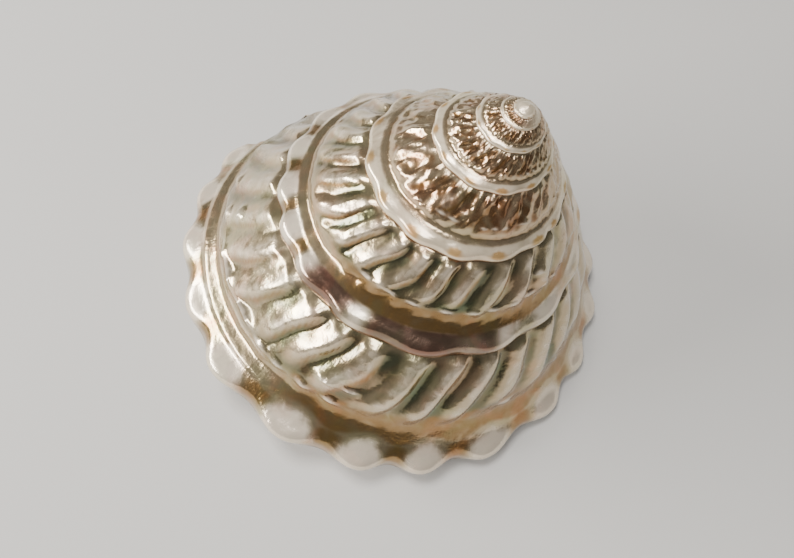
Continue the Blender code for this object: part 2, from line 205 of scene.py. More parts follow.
class TurbanShellSettings(bpy.types.PropertyGroup):
    """Sizes and colours of the shell."""

    rows_per_turn: IntProperty(
        name="Rows per turn",
        description="Rows of the mesh in one turn of the shell",
        default=340,
        min=80,
        max=400,
    )
    fold_rise: FloatProperty(
        name="Fold rise", description="Height of the folds as a share of the whorl's face", default=0.042
    )
    knob_rise: FloatProperty(
        name="Knob rise", description="Height of the free knobs as a share of the whorl's face", default=0.071
    )
    scallop_rise: FloatProperty(
        name="Scallop rise", description="Height of the knobs that a later whorl covers", default=0.042
    )
    bead_rise: FloatProperty(
        name="Bead rise", description="Height of the beads as a share of the whorl's face", default=0.024
    )
    base_cord_rise: FloatProperty(
        name="Base cord rise", description="Height of the cords of the base", default=0.00025, unit="LENGTH"
    )
    wrinkle: FloatProperty(
        name="Wrinkle", description="Height of the fine wrinkles", default=0.00012, unit="LENGTH"
    )
    crumple: FloatProperty(
        name="Crumple",
        description="Height of the facets of the spire as a share of the whorl's face",
        default=0.022,
    )
    wall: FloatProperty(name="Wall", description="Wall well behind the mouth", default=0.003, unit="LENGTH")
    lip_wall: FloatProperty(name="Lip wall", description="Wall at the lip", default=0.0011, unit="LENGTH")
    # Pearl is painted highlight on the crests of the folds, the knobs and the beads, and the own colour of
    # the base and the hollow
    pearl: colour_setting("Pearl", "#F0DFC9", "Crests of the folds and knobs")
    champagne: colour_setting("Champagne", "#C0AC88", "Body of the whorls")
    # Olive and sea green are painted shade, darkening and tinting the hollows between the folds
    olive: colour_setting("Olive", "#716A4E", "Hollows between the folds of the last two whorls")
    sea_green: colour_setting("Sea green", "#5E6C56", "Green gleam deep between the folds")
    # Tan is painted shade in the channel, in the valleys between the knobs and on the steep flank of each
    # fold
    tan: colour_setting("Tan", "#96713F", "Channel above the keel and valleys between the knobs")
    gold: colour_setting("Gold", "#CDB592", "Whorls of the spire")
    # Bronze is painted shade in the hollows of the spire and on one side of each of its whorls
    bronze: colour_setting("Bronze", "#8A6440", "Hollows of the spire")
    pink: colour_setting("Pink", "#F0B9B4", "Faint pink clouds")
    cool: colour_setting("Cool green", "#A9D2B4", "Faint green clouds")
    mauve: colour_setting("Mauve", "#7C5F52", "Keel of the whorl before the last, at the front")
    # The suture brown is painted shade in the line under each overhanging keel, and the colour of two rust
    # marks
    suture: colour_setting("Suture", "#7E5029", "Line under each keel")
    # Cream is the worn apex, and painted highlight on the scallops of the spire's keel bands
    cream: colour_setting("Cream", "#F3E0C2", "Worn apex and scallops")
    honey: colour_setting("Honey", "#C39A5E", "Lens shapes low on the old scallops")


class TurbanStageSettings(bpy.types.PropertyGroup):
    """The stage: floor, lights and lens."""

    floor_width: FloatProperty(
        name="Floor width", description="Width of the round floor", default=3.0, unit="LENGTH"
    )
    floor: colour_setting("Floor", "#C6C3BE", "Matt pale floor")
    lens: FloatProperty(name="Lens", description="Focal length of the camera", default=LENS, unit="CAMERA")
    key_power: FloatProperty(
        name="Key light", description="Unit of power of the window and top lights", default=1.6, unit="POWER"
    )
    fill_power: FloatProperty(
        name="Fill light", description="Unit of power of the light in front", default=0.5, unit="POWER"
    )
    sky: FloatProperty(name="Room light", description="Strength of the even light of the room", default=0.09)


def smooth_step(value):
    """0 below 0, 1 above 1, and a smooth rise between them."""
    value = np.clip(value, 0.0, 1.0)
    return value * value * (3.0 - 2.0 * value)


def bell(value, centre, width):
    """A bump of height 1 round the centre."""
    return np.exp(-(((value - centre) / width) ** 2))


def keel(turn):
    """Radius and depth below the apex of the keel line."""
    a0, a1, a2, a3 = GROWTH
    t = np.maximum(turn, FIRST_TURN)
    radius = np.exp(a0 + a1 * t + a2 * t**2 + a3 * t**3)
    radius = radius * smooth_step((t - FIRST_TURN) / NUCLEUS_TURNS) ** 0.5
    depth = SPIRE_SLOPE * (np.hypot(radius, APEX_BLUNTNESS) - APEX_BLUNTNESS)
    return radius, depth + LATE_DROP * (radius / LATE_DROP_RADIUS) ** LATE_DROP_POWER


def chord(turn):
    """Upper suture, direction down the face, direction out of it, and the distance to the keel."""
    r0, d0 = keel(turn - 1.0)
    r1, d1 = keel(turn)
    length = np.maximum(np.hypot(r1 - r0, d1 - d0), 1e-6)
    down = ((r1 - r0) / length, (d1 - d0) / length)
    return (r0, d0), down, (down[1], -down[0]), length


def counted(turn, places):
    """A number that grows by one from each listed crest to the next."""
    return np.interp(turn, [place[0] for place in places], np.cumsum([place[1] for place in places]))


def spread(number, seed):
    """A repeatable number from 0 to 1 for each whole number."""
    value = np.sin((np.rint(number) + 0.37) * (12.9898 + seed * 3.117)) * 43758.5453
    return value - np.floor(value)


def ripple(turn, s, size, seed):
    """Soft unevenness from a few crossed waves, mostly between -1 and 1. The size is in turns."""
    total = 0.0
    for k in range(5):
        along = (0.6 + spread(k, seed)) / size
        across = (spread(k + 9, seed) - 0.5) * 5.0
        total = total + np.sin(2.0 * math.pi * (turn * along + s * across + spread(k + 20, seed)))
    return total / 3.0


def fold_wave(turn, s):
    """The wave of the folds, 1 on a crest and 0 between two, and how much of it is left toward their ends.

    Then the size of this fold, and the side of it: below 0 toward the apex, above 0 toward the mouth.
    """
    slant = FOLD_SLANT * ((s / 0.5) ** 1.5 - 0.35) + 0.002 * ripple(turn, s, 0.16, 1)
    count = counted(turn - slant, FOLD_CRESTS)
    number = np.rint(count)
    side = count - number

    # The flank toward the apex is the steeper one
    phase = 2.0 * math.pi * side
    wave = 0.5 + 0.5 * np.cos(phase - FLANK_SKEW * (1.0 - np.cos(phase)))
    end = FOLD_END + 0.14 * (spread(number, 2) - 0.5)
    fade = smooth_step(s / 0.10) * (1.0 - smooth_step((s - end + 0.10) / 0.20))
    fade = fade * smooth_step((turn + 4.2) / 1.6)
    size = (0.66 + 0.62 * spread(number, 3)) * (0.42 + 0.58 * smooth_step((turn + 0.75) / 0.6))
    size = size * (1.0 - 0.10 * smooth_step((turn - 1.28) / 0.12))
    size = size * (1.0 - LIP_FOLDS_CUT * smooth_step((turn - LIP_FOLDS_FROM) / 0.1))
    size = size * (1.0 + 0.16 * ripple(turn, s * 1.6, 0.05, 5))
    return wave**CREST_SHARPNESS, fade, size, side


def bead_wave(turn, s):
    """Beads below the folds: those that the photograph shows, and a loose row of the same kind elsewhere."""
    height = 0.0 * (turn + s)
    for t, across, length in BEADS:
        height = np.maximum(height, bell(turn, t, 1.5 * length) * bell(s, across, BEAD_WIDTH))
    run = turn * BEADS_PER_TURN
    seen = np.maximum(smooth_step((turn - 1.50) / 0.02), smooth_step((1.06 - turn) / 0.02) * (turn > 0.5))
    seen = np.maximum(seen, np.maximum(turn < -0.98, (turn > -0.70) * (turn < 0.03)))
    row_at = BEAD_ROW_AT + 0.03 * (spread(run, 4) - 0.5)
    row = (0.5 + 0.5 * np.cos(2.0 * math.pi * run)) ** 2 * bell(s, row_at, BEAD_WIDTH)
    row = row * (0.35 + 0.65 * spread(run, 5)) * seen
    return np.maximum(height, row) * smooth_step((turn + 3.5) / 1.5)


def knob_wave(turn):
    """1 on a knob and 0 in the valley after it. The knobs are a little broader than the valleys."""
    wave = 0.5 + 0.5 * np.cos(2.0 * math.pi * counted(turn, KNOB_TURNS))
    return 1.0 - (1.0 - wave) ** KNOB_BREADTH


def knob_free(turn):
    """1 where the knobs stand free, and 0 where a later whorl covers them."""
    return smooth_step((turn - KNOB_FREE_FROM) / (KNOB_FREE_BY - KNOB_FREE_FROM))


def stretch(turn, first, last, soft):
    """1 between two turns and 0 outside them, with soft ends."""
    return smooth_step((turn - first) / soft + 0.5) * smooth_step((last - turn) / soft + 0.5)


def broad_channel(turn):
    """How broad the channel is: 1 at the front of the last two whorls."""
    return np.maximum(stretch(turn, 0.88, 1.28, 0.08), stretch(turn, -0.05, 0.32, 0.08))


def face_tones(turn, s):
    """Share of each tone of the nacre at a place on the face of a whorl."""
    wave, fade, _, side = fold_wave(turn, s)
    knob = knob_wave(turn)
    bead = bead_wave(turn, s)
    patch = ripple(turn, s, 0.10, 11)
    speck = ripple(turn, s * 2.0, 0.035, 13)
    spire = smooth_step((-0.15 - turn) / 0.6)
    # Painted shade: the hollows between the folds are darker, most of all at the front of the last two
    # whorls, and tinted green there
    front = stretch(turn, 1.00, 1.31, 0.10)
    green_side = np.maximum(front, stretch(turn, 0.12, 0.40, 0.10))
    band = smooth_step((s - 0.02) / 0.08) * smooth_step((0.66 - s) / 0.16)
    valley = band * smooth_step((0.85 - wave * fade) / 0.85) ** 1.4
    # Painted shade on one side of each whorl of the spire
    brown = smooth_step(np.sin(2.0 * math.pi * (turn - 0.02)) * 1.5 + 0.5 * speck) * spire

    # Tan painted shade in the channel, in the valleys between the knobs and on the steep flank of each fold,
    # and the lens shape on each old scallop
    wide = broad_channel(turn)
    tan = 0.45 * bell(s, CHANNEL_AT, 0.05) * (1.0 - wide)
    free = knob_free(turn)
    outer = 0.83 - 0.07 * knob * free
    tan = np.maximum(tan, 0.78 * wide * smooth_step((s - 0.47) / 0.10) * smooth_step((outer - s) / 0.06))
    between = smooth_step((0.62 - knob) / 0.6) * smooth_step((s - 0.76) / 0.06)
    tan = np.maximum(tan, 0.85 * free * between * (1.0 - 0.15 * smooth_step((turn - 1.28) / 0.1)))
    tan = np.maximum(tan, 0.75 * bell(side, -0.20, 0.08) * fade * smooth_step((s - 0.12) / 0.1))
    after = counted(turn, KNOB_TURNS)
    after = after - np.rint(after)
    lens = 0.98 * bell(after, 0.14, 0.22) * smooth_step((s - 0.81 - 0.2 * np.abs(after - 0.14)) / 0.03)
    lens = lens * smooth_step((0.965 - s) / 0.02)
    lens = lens * smooth_step((0.1 - turn) / 0.3)

    keel_band = smooth_step((s - 0.735) / 0.05)
    mauve = np.maximum(stretch(turn, 0.115, 0.255, 0.03), stretch(turn, 0.27, 0.335, 0.03))
    mauve = mauve * keel_band * smooth_step((1.0 - s) / 0.03) * (0.90 + 0.30 * patch)
    # Painted shade between the knobs of the keel before the last
    boxes = stretch(turn, 0.335, 0.56, 0.02) * keel_band * smooth_step((0.40 - knob) / 0.3)
    rust = 0.9 * bell(s, 0.045, 0.02) * np.maximum(bell(turn, 1.128, 0.003), 0.8 * bell(turn, 1.152, 0.002))
    # Painted shade: a dark line just under each overhanging keel
    covered = smooth_step((0.66 - turn) / 0.03)
    line = np.maximum(0.7 * smooth_step((0.026 - s) / 0.016), covered * smooth_step((s - 0.962) / 0.018))
    # Painted highlights on the crests of the folds, on the knob domes and on the scallops of the older keels
    pearl = 0.50 * smooth_step((wave * fade - 0.35) / 0.6) * (1.0 - 0.7 * spire)
    old_keel = keel_band * (0.35 + 0.65 * knob) * (1.0 - spire) * (1.0 - 0.5 * boxes)
    dome = smooth_step((s - 0.71 - 0.10 * (1.0 - knob)) / 0.14)
    dome = dome * (0.25 + 0.75 * smooth_step((knob - 0.05) / 0.85))
    keel_pearl = old_keel * (1.0 - free) + dome * free
    pearl = np.maximum(pearl, keel_pearl * (1.0 - 0.85 * np.clip(mauve, 0.0, 1.0)))
    # Painted highlights on the left part of the last whorl and along a thin ridge there
    pearl = np.maximum(pearl, 0.30 * stretch(turn, 1.30, 1.75, 0.12) * band * (0.5 + 0.5 * wave))
    pearl = np.maximum(pearl, 0.85 * bell(s, 0.615, 0.02) * stretch(turn, 1.30, 1.50, 0.06))
    return {
        "gold": spire,
        # Painted shade in the hollows between the folds
        "hollow": valley * (1.0 - spire) * (0.55 + 0.40 * green_side) * (1.0 + 0.35 * patch),
        # Painted shade in the hollows of the spire and on one side of it
        "hollow_gold": band * spire * np.clip(0.22 * valley + 0.55 * brown * (1.0 + 0.5 * speck), 0.0, 0.8),
        # Green tint of the painted shade in the hollows
        "green": 0.55 * valley * green_side * smooth_step(patch * 0.9 + 0.3) * (1.0 - spire),
        # Painted shade in the channel, between the knobs and on the steep flanks of the folds
        "tan": np.maximum(tan, 0.8 * boxes),
        # Painted highlights, the beads among them
        "pearl": np.maximum(pearl, bead),
        "mauve": mauve,
        # The worn apex, and painted highlights on the keel bands of the spire
        "cream": np.maximum(smooth_step((-3.65 - turn) / 0.5), keel_band * spire * (0.75 + 0.2 * knob)),
        "lens": lens,
        # Painted shade under the keels, and two rust marks
        "suture_shade_and_rust": np.maximum(line, rust),
    }


def face_profile(turn, s, look):
    """Place of a face point down the face and out of it, in shares of the face."""
    length = chord(turn)[3]
    wide = broad_channel(turn)
    channel_at = CHANNEL_AT + (BROAD_CHANNEL_AT - CHANNEL_AT) * wide
    channel_width = CHANNEL_WIDTH + (BROAD_CHANNEL_WIDTH - CHANNEL_WIDTH) * wide
    rise = FACE_ROUNDNESS * 4.0 * s * (1.0 - s)
    rise = rise - CHANNEL_DEPTH * bell(s, channel_at, channel_width)
    rise = rise + KEEL_RISE * bell(s, KEEL_AT, KEEL_WIDTH)

    # A whorl starts in a groove, under the overhanging keel of the whorl before it
    rise = rise - GROOVE_DEPTH * (1.0 - smooth_step(s / GROOVE_WIDTH))
    rise = rise + 0.006 * bell(s, RIDGE_AT, 0.018) * smooth_step((turn + 1.0) / 2.0) * (1.0 - wide)
    rise = rise + look.bead_rise * bead_wave(turn, s)
    wave, fade, size, _ = fold_wave(turn, s)
    rise = rise + look.fold_rise * fade * size * (wave - 0.35)
    free = knob_free(turn)
    top = look.scallop_rise + (look.knob_rise - look.scallop_rise) * free
    top = top * (1.0 - 0.35 * smooth_step((turn - 1.30) / 0.08))
    knob = top * smooth_step((turn + 4.5) / 1.5) * knob_wave(turn)
    inner = smooth_step(s / 0.08) * smooth_step((0.72 - s) / 0.12) * smooth_step((turn + 4.4) / 1.4)
    fine = ripple(turn, s * 2.0, 0.045, 7) + 0.5 * ripple(turn, s * 3.0, 0.018, 8)

    # The spire is faceted like crumpled foil
    crumple = 0.5 - np.abs(ripple(turn, s * 1.3, 0.075, 9)) - 0.6 * np.abs(ripple(turn, s * 2.4, 0.04, 10))
    rise = rise + look.crumple * crumple * inner * smooth_step((-0.1 - turn) / 0.7)
    rise = rise + 0.95 * knob * bell(s, KNOB_AT, KNOB_WIDTH * (1.0 - 0.25 * free))
    rise = rise + look.wrinkle / MM * fine * inner / length
    return s + 0.55 * knob * smooth_step((s - 0.78) / 0.22), rise


def face_point(turn, s, look):
    """Radius and depth of a point on the outer face of a whorl.

    Past s = 1 the face curls round the keel to the join line.
    """
    (r0, d0), down, out, length = chord(turn)
    along, rise = face_profile(turn, np.minimum(s, 1.0), look)
    u = np.clip((s - 1.0) / (EDGE - 1.0), 0.0, 1.0)
    middle = 0.5 * (rise - JOIN_INSET) - 0.004
    rise = (1.0 - u) ** 2 * rise + 2.0 * u * (1.0 - u) * middle
    along = (1.0 - u) ** 2 * along + 2.0 * u * (1.0 - u) * (along + 0.026)
    radius_j, depth_j = join_point(turn)
    radius = (1.0 - u**2) * r0 + length * (along * down[0] + rise * out[0]) + u**2 * radius_j
    depth = (1.0 - u**2) * d0 + length * (along * down[1] + rise * out[1]) + u**2 * depth_j
    return radius, depth


def join_point(turn):
    """The line under the keel, where the next whorl or the base begins."""
    _, down, out, length = chord(turn)
    radius, depth = keel(turn)
    inside = turn > APEX_TURN
    radius = radius + length * (JOIN_DROP * down[0] - JOIN_INSET * out[0])
    depth = depth + length * (JOIN_DROP * down[1] - JOIN_INSET * out[1])
    return np.where(inside, radius, 0.0), np.where(inside, depth, 0.0)


def base_point(turn, q, cord_rise, lift=0.0):
    """Radius and depth of a point on the base. A lift moves it into the shell, square to the base."""
    radius, depth = join_point(turn)
    began = smooth_step((turn - LIP_TURN + 1.0) / BASE_CURL_TURNS)
    curl = BASE_CURL_START + (BASE_CURL_END - BASE_CURL_START) * began
    drop = FOOT_DEPTH - depth
    round_rise = BASE_ROUNDNESS * radius
    level = depth + drop * (1.0 - q) ** curl + round_rise * 4.0 * q * (1.0 - q)
    cords = np.cos(2.0 * math.pi * BASE_CORDS * (q - 0.98)) * smooth_step((q - 0.25) / 0.2)
    level = level + cord_rise * cords * smooth_step((1.0 - q) / 0.06)
    slope = (-drop * curl * (1.0 - q) ** (curl - 1.0) + round_rise * 4.0 * (1.0 - 2.0 * q)) / radius
    size = np.hypot(1.0, slope)
    return q * radius + lift * slope / size, level - lift / size


def place(turn, point):
    """Points of the shell's own frame, with the axis upright and the apex at the origin."""
    radius, depth = point
    angle = 2.0 * math.pi * turn
    return np.stack([radius * np.cos(angle), -radius * np.sin(angle), -depth + 0.0 * angle], axis=-1)


def lip_share(turn):
    """How much of the lip's lean a row takes."""
    return smooth_step((turn - LIP_TURN + LIP_LEAN_TURNS) / LIP_LEAN_TURNS)


def face_turn(turn, s):
    """Turn of a face point, with the lip leaning back toward the keel."""
    return turn - LIP_LEAN * lip_share(turn) * smooth_step(s / 0.85)


def base_turn(turn, q):
    """Turn of a base point, with the first row swung back toward the axis."""
    first = 1.0 - smooth_step((turn - LIP_TURN + 1.0) / 0.35)
    return turn - LIP_LEAN * (lip_share(turn) + first * (1.0 - q) ** 2)


def resting():
    """The turn of the shell's own frame into the way it lies."""
    toward = math.radians(LEAN_TOWARD)
    lean = Matrix.Rotation(math.radians(LEAN_ANGLE), 4, Vector((-math.sin(toward), math.cos(toward), 0.0)))
    return Matrix.Translation(Vector(TIP_POSITION)) @ Matrix.Rotation(math.radians(SPIN), 4, "Z") @ lean


def face_stations(columns):
    """Places across a face, from the upper join to the lower one, closer together over the keel."""
    upper = np.linspace(0.0, 0.60, 28)[1:]
    lower = np.linspace(0.60, 1.0, 24)[1:]
    curl = np.linspace(1.0, EDGE, 7)[1:]
    full = np.concatenate([upper, lower, curl])
    full[:2] = (0.012, 0.03)
    return np.concatenate([[0.0], full])[:: len(full) // columns]


def sheet(name, rows, columns, at):
    """A grid primitive whose vertices are put where at() says, with the whorl coordinates as its UV map."""
    bpy.ops.object.select_all(action="DESELECT")
    bpy.ops.mesh.primitive_grid_add(x_subdivisions=rows, y_subdivisions=columns, size=1.0)
    piece = bpy.context.object
    piece.name = name
    mesh = piece.data
    flat = np.empty(len(mesh.vertices) * 3)
    mesh.vertices.foreach_get("co", flat)
    flat = flat.reshape(-1, 3)
    row = np.rint((flat[:, 0] + 0.5) * rows).astype(int)
    column = np.rint((flat[:, 1] + 0.5) * columns).astype(int)
    points, whorl, tones = at(row, column)
    matrix = np.array(resting())
    points = (points @ matrix[:3, :3].T + matrix[:3, 3]) * MM

    # Relief that passes the box of the solid is cut flat, by 0.3 mm at most. The ground is cut later.
    low, high = (np.array(corner) for corner in CAD_BOX)
    low[2] = points[:, 2].min()
    points = np.clip(points, low, high)
    mesh.vertices.foreach_set("co", points.ravel())
    corner = np.empty(len(mesh.loops), dtype=np.int32)
    mesh.loops.foreach_get("vertex_index", corner)
    mesh.uv_layers[0].name = "whorl"
    mesh.uv_layers[0].data.foreach_set("uv", whorl[corner].ravel())
    for tone in TONES:
        share = np.clip(tones.get(tone, 0.0) + np.zeros(len(points)), 0.0, 1.0)
        mesh.attributes.new(tone, "FLOAT", "CORNER").data.foreach_set("value", share[corner])
    return piece


def whorl_band(columns, first, last, rows_per_turn, look):
    """One band of the outer whorls, from its younger end to its older end."""
    rows = int(round((first - last) * rows_per_turn))
    older = columns // 2 if last > FIRST_TURN else columns
    s_of = face_stations(columns)

    def at(row, column):
        # The last row takes the columns of the coarser band after it
        column = np.where(row == rows, np.minimum((column * older + columns // 2) // columns, older), column)
        column = np.where(row == rows, column * columns // older, column)
        turn = first - row / rows_per_turn
        s = s_of[column]
        there = face_turn(turn, s)
        radius, depth = face_point(there, s, look)
        above = join_point(turn - 1.0)
        apex = turn <= APEX_TURN
        radius = np.where(apex, 0.0, np.where(column == 0, above[0], radius))
        depth = np.where(apex, 0.0, np.where(column == 0, above[1], depth))
        points = place(np.where(column == 0, turn - 1.0, there), (radius, depth))
        return points, np.stack([there, s], axis=1), face_tones(there, s)

    return sheet("shell_band", rows, columns, at)


def base_sheet(rows_per_turn, look):
    """The base of the last whorl, from the keel in to the axis."""
    rise = look.base_cord_rise / MM

    def at(row, column):
        turn = LIP_TURN - row / rows_per_turn
        q = 1.0 - column / BASE_COLUMNS
        there = base_turn(turn, q)
        radius, depth = base_point(there, q, rise)
        depth = np.where(column == BASE_COLUMNS, FOOT_DEPTH, depth)
        points = place(there, (radius * (column < BASE_COLUMNS), depth))
        # Painted shade in tan and dark brown just under the keel, and a little tan toward the axis
        tones = {
            "pearl": 0.75 + 0.25 * ripple(there, q, 0.2, 21),
            "tan": 0.45 * bell(q, 0.96, 0.03) + 0.25 * smooth_step((0.2 - q) / 0.1),
            "suture_shade_and_rust": smooth_step((q - 0.975) / 0.02),
        }
        return points, np.stack([there, 2.0 - q], axis=1), tones

    return sheet("shell_base", rows_per_turn, BASE_COLUMNS, at)


def hollow_sheet(look):
    """The rim of the mouth and the hollow behind it, closed at its far end."""
    s_of = face_stations(BANDS[0][0])
    faces = len(s_of)
    q_of = 1.0 - np.arange(1, BASE_COLUMNS) / BASE_COLUMNS
    ring = faces + 2 * len(q_of) + 1
    steps = list(HOLLOW_FIRST_STEPS)
    while steps[-1] + 1.0 / HOLLOW_ROWS_PER_TURN < HOLLOW_TURNS:
        steps.append(steps[-1] + 1.0 / HOLLOW_ROWS_PER_TURN)
    rows = RIM_ROWS + len(steps) + CAP_ROWS
    kind = np.repeat([FACE, BASE, POST, ROOF], [faces, len(q_of), 1, len(q_of)])
    station = np.concatenate([s_of / EDGE, q_of, [0.0], q_of[::-1]])
    cord = look.base_cord_rise / MM

    def edge():
        """The open edge that the lip and the base leave."""
        there = face_turn(LIP_TURN, s_of)
        radius, depth = face_point(there, s_of, look)
        radius[0], depth[0] = join_point(LIP_TURN - 1.0)
        there[0] = LIP_TURN - 1.0
        lip = place(there, (radius, depth))
        out = base_turn(LIP_TURN, q_of)
        basal = place(out, base_point(out, q_of, cord))
        back = base_turn(LIP_TURN - 1.0, q_of[::-1])
        inner = place(back, base_point(back, q_of[::-1], cord))
        return np.concatenate([lip, basal, [[0.0, 0.0, -FOOT_DEPTH]], inner])

    def section(turn):
        """The cross-section of the hollow at a turn."""
        share = smooth_step((LIP_TURN - turn) / WALL_TURNS)
        size = keel(turn)[0] / keel(LIP_TURN)[0]
        wall = (look.lip_wall + (look.wall - look.lip_wall) * share) / MM * (0.35 + 0.65 * size)
        lean = LIP_LEAN * lip_share(turn)
        swing = np.where(kind == ROOF, (1.0 - station) ** 2, 1.0)
        swing = np.where(kind == FACE, smooth_step(station / 0.85), swing)
        there = turn - lean * swing
        (r0, d0), down, out, length = chord(there)
        now = join_point(there)[0]
        old = join_point(there - 1.0)[0]
        s = 0.55 * wall / length + (1.0 - 2.1 * wall / length) * station
        rise = FACE_ROUNDNESS * 4.0 * s * (1.0 - s) - CHANNEL_DEPTH * bell(s, CHANNEL_AT, CHANNEL_WIDTH)
        rise = rise * length - wall
        face = (r0 + length * s * down[0] + rise * out[0], d0 + length * s * down[1] + rise * out[1])
        end = (COLUMELLA + 1.5) / now
        base = base_point(there, end + (1.0 - 2.6 * wall / now - end) * station, cord, wall)
        low = base_point(there, (COLUMELLA + 0.6) / now, cord, wall)
        high = base_point(there - 1.0, (COLUMELLA + 0.3) / old, cord)
        post = (COLUMELLA + 0.0 * there, 0.5 * low[1] + 0.5 * high[1])
        end = (COLUMELLA + 0.9) / old
        roof = base_point(there - 1.0, end + (1.0 - 1.4 * wall / old - end) * station, cord)
        choice = [kind == part for part in (FACE, BASE, POST, ROOF)]
        radius = np.select(choice, [face[0], base[0], post[0], roof[0]])
        depth = np.select(choice, [face[1], base[1], post[1], roof[1]])
        return place(there, (radius, depth))

    loops = []
    outer = edge()
    mouth = section(LIP_TURN - steps[0])
    ahead = np.stack([outer[:, 1], -outer[:, 0], 0.0 * outer[:, 0]], axis=1)
    ahead /= np.maximum(np.hypot(ahead[:, 0], ahead[:, 1]), 1e-6)[:, None]
    thick = np.linalg.norm(outer - mouth, axis=1)[:, None]
    bulge = np.where((kind != ROOF) & (np.arange(ring) > 0), 1.0, 0.0)[:, None] * np.minimum(thick * 0.4, 0.5)
    for k in range(RIM_ROWS):
        share = k / RIM_ROWS
        turned = 0.5 - 0.5 * math.cos(math.pi * share)
        loops.append(outer + (mouth - outer) * turned + ahead * bulge * math.sin(math.pi * share))
    loops += [section(LIP_TURN - step) for step in steps]
    marks_turn = [LIP_TURN] * RIM_ROWS + [LIP_TURN - step for step in steps]
    last = loops[-1]
    centre = last.mean(axis=0)
    for k in range(CAP_ROWS + 1):
        share = (k + 1) / (CAP_ROWS + 1)
        bend = Matrix.Rotation(2.0 * math.pi * HOLLOW_END_TURN * math.sin(0.5 * math.pi * share), 3, "Z")
        ringed = centre + (last - centre) * math.cos(0.5 * math.pi * share)
        loops.append(ringed @ np.array(bend).T)
        marks_turn.append(marks_turn[-1])
    loops = np.array(loops)
    marks_turn = np.array(marks_turn)

    def at(row, column):
        points = loops[row, column % ring]
        deep = smooth_step((row - RIM_ROWS + 1.0) / 3.0)
        # Painted shade: the hollow is a little less white inside than at the rim, and the rim is a little tan
        tones = {"pearl": 0.9 - 0.2 * deep, "tan": 0.2 * (1.0 - deep)}
        return points, np.stack([marks_turn[row], 4.0 + deep], axis=1), tones

    return sheet("shell_hollow", rows, ring, at)


def add(tree, kind, inputs=None, output=0, **settings):
    """Adds a shader node and returns one of its outputs. Each input is a value or an output to link."""
    made = tree.nodes.new("ShaderNode" + kind)
    for name, value in settings.items():
        setattr(made, name, value)
    for socket, value in (inputs or {}).items():
        if isinstance(value, bpy.types.NodeSocket):
            tree.links.new(value, made.inputs[socket])
        elif made.inputs[socket].type == "RGBA":
            made.inputs[socket].default_value = (*value, 1.0)
        else:
            made.inputs[socket].default_value = value
    return made.outputs[output] if len(made.outputs) else made


